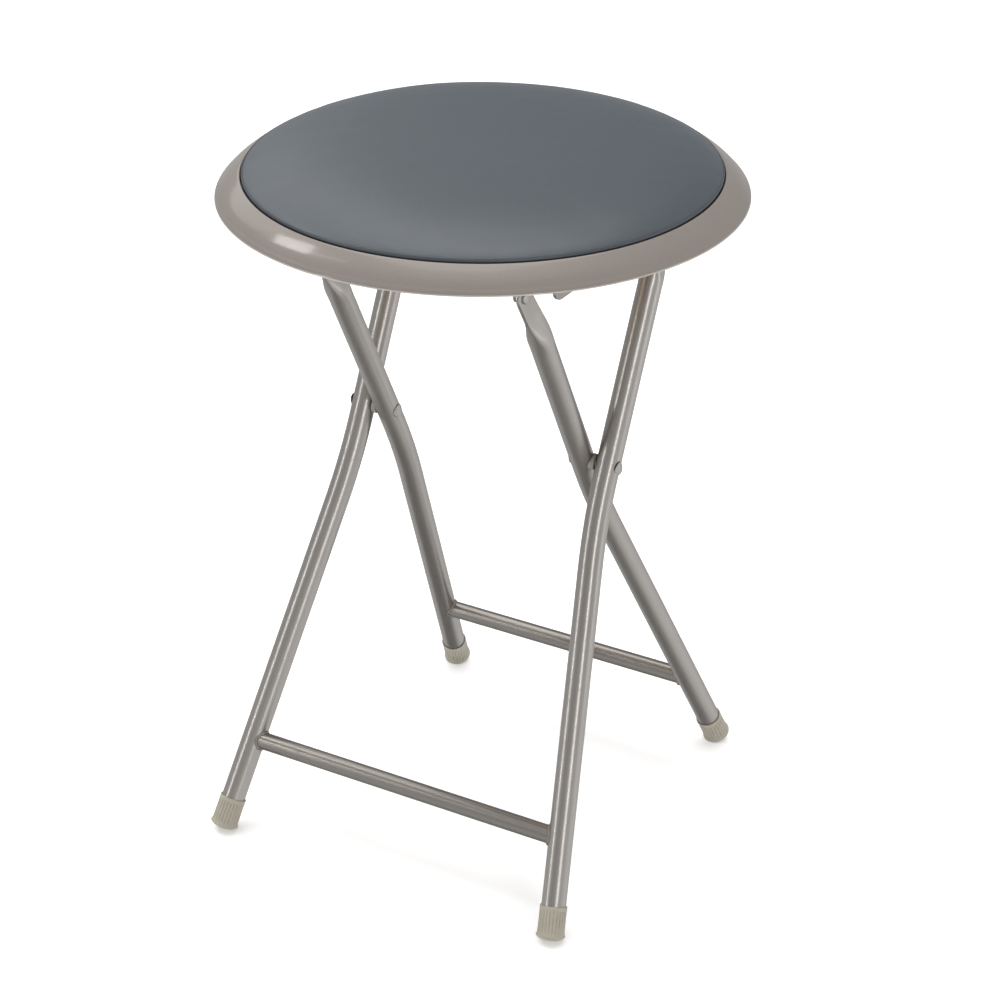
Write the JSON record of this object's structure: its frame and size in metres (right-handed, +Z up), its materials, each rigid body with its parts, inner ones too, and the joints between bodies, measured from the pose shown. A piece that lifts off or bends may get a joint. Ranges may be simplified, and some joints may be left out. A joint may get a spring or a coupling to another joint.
{
  "type": "folding stool",
  "caption": "Round padded seat in a smooth rim on scissor legs of bent steel tube with crossbars; folds flat as the seat tips up off its support rod.",
  "frame": {"origin": "on the floor under the middle of the round seat", "axes": "+Z up; X runs along the scissor pivot; -Y is the front, where the feet of the outer frame stand"},
  "size_m": [0.3218, 0.3218, 0.4572],
  "materials": {
    "vinyl": "soft satin vinyl with a fine grain",
    "foam": "open-cell foam, matte",
    "plywood": "bare birch plywood",
    "rim": "satin moulded",
    "bracket_steel": "satin powder coat",
    "frame_steel": "satin metallic silver-taupe paint",
    "rod_steel": "satin zinc plate",
    "rivet_steel": "satin zinc plate",
    "fastener_steel": "bright zinc plate",
    "foot_tip": "matte moulded",
    "bush_plastic": "matte moulded"
  },
  "bodies": {
    "inner_frame": {"inner_leg_left": "frame_steel", "inner_leg_right": "frame_steel", "inner_crossbar": "frame_steel", "inner_foot_left": "foot_tip", "inner_foot_right": "foot_tip", "pivot_bush_left": "bush_plastic", "pivot_bush_right": "bush_plastic", "pivot_rivet_left": "rivet_steel", "pivot_rivet_right": "rivet_steel", "hinge_rivet_left": "rivet_steel", "hinge_rivet_right": "rivet_steel"},
    "outer_frame": {"outer_leg_left": "frame_steel", "outer_leg_right": "frame_steel", "outer_crossbar": "frame_steel", "outer_foot_left": "foot_tip", "outer_foot_right": "foot_tip", "seat_support_rod": "rod_steel"},
    "seat": {"cushion_cover": "vinyl", "cushion_foam": "foam", "seat_board": "plywood", "seat_rim": "rim", "seat_bracket_left": "bracket_steel", "seat_bracket_right": "bracket_steel", "bracket_screw_left_1": "fastener_steel", "bracket_screw_left_2": "fastener_steel", "bracket_screw_left_3": "fastener_steel", "bracket_screw_left_4": "fastener_steel", "bracket_screw_right_1": "fastener_steel", "bracket_screw_right_2": "fastener_steel", "bracket_screw_right_3": "fastener_steel", "bracket_screw_right_4": "fastener_steel", "rim_screw_1": "fastener_steel", "rim_screw_2": "fastener_steel", "rim_screw_3": "fastener_steel", "rim_screw_4": "fastener_steel"}
  },
  "joints": [
    {"name": "leg_fold", "type": "hinge", "parent": "inner_frame", "child": "outer_frame", "pos_m": [0, 0, 0.2646], "axis": [1, 0, 0], "range_deg": [0, 50]},
    {"name": "seat_tilt", "type": "hinge", "parent": "inner_frame", "child": "seat", "pos_m": [0, -0.07343, 0.40066], "axis": [1, 0, 0], "range_deg": [0, 117.62]}
  ],
  "couplings": [
    {"joint": "seat_tilt", "follows": "leg_fold", "ratio": 2.3522}
  ]
}
